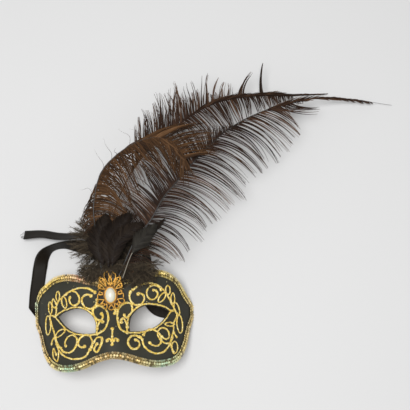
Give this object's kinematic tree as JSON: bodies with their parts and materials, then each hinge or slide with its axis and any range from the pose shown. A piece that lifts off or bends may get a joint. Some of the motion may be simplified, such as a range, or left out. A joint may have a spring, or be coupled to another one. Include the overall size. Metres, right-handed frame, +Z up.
{
  "type": "masquerade mask",
  "caption": "Half mask with gold glitter scrolls, a braided rim, a pearl brooch, an ostrich plume fan and satin ties, lying face up.",
  "frame": {"origin": "middle of the footprint, on the surface that the mask lies on", "axes": "+Z up, the way the face looks; +X across the face towards the plumes' tips; +Y from the chin to the brow"},
  "size_m": [0.4136, 0.3164, 0.0843],
  "materials": {
    "shell": "moulded shell in matt olive black, with stray glitter specks",
    "braid": "gold metallic braid with iridescent sequins",
    "glitter": "dried gold glitter glue, sparkling",
    "gilt": "orange gold gilt filigree",
    "pearl": "pearl cabochon, glossy",
    "plume": "black brown ostrich barbs on a pale quill",
    "brown_plume": "brown ostrich barbs",
    "hackle": "smooth black feather with a soft sheen",
    "down": "loose black brown down",
    "satin": "black satin ribbon"
  },
  "bodies": {
    "root": {"mask_shell": "shell", "rim_braid": "braid", "glitter_scrolls_left": "glitter", "glitter_scrolls_right": "glitter", "glitter_fleur": "glitter", "brooch": "gilt", "pearl": "pearl", "plume_front": "plume", "plume_curled": "brown_plume", "plume_back": "plume", "hackle_1": "hackle", "hackle_2": "hackle", "hackle_3": "hackle", "hackle_4": "hackle", "hackle_5": "hackle", "down_tuft": "down", "ribbon_left": "satin", "ribbon_right": "satin"}
  },
  "joints": []
}
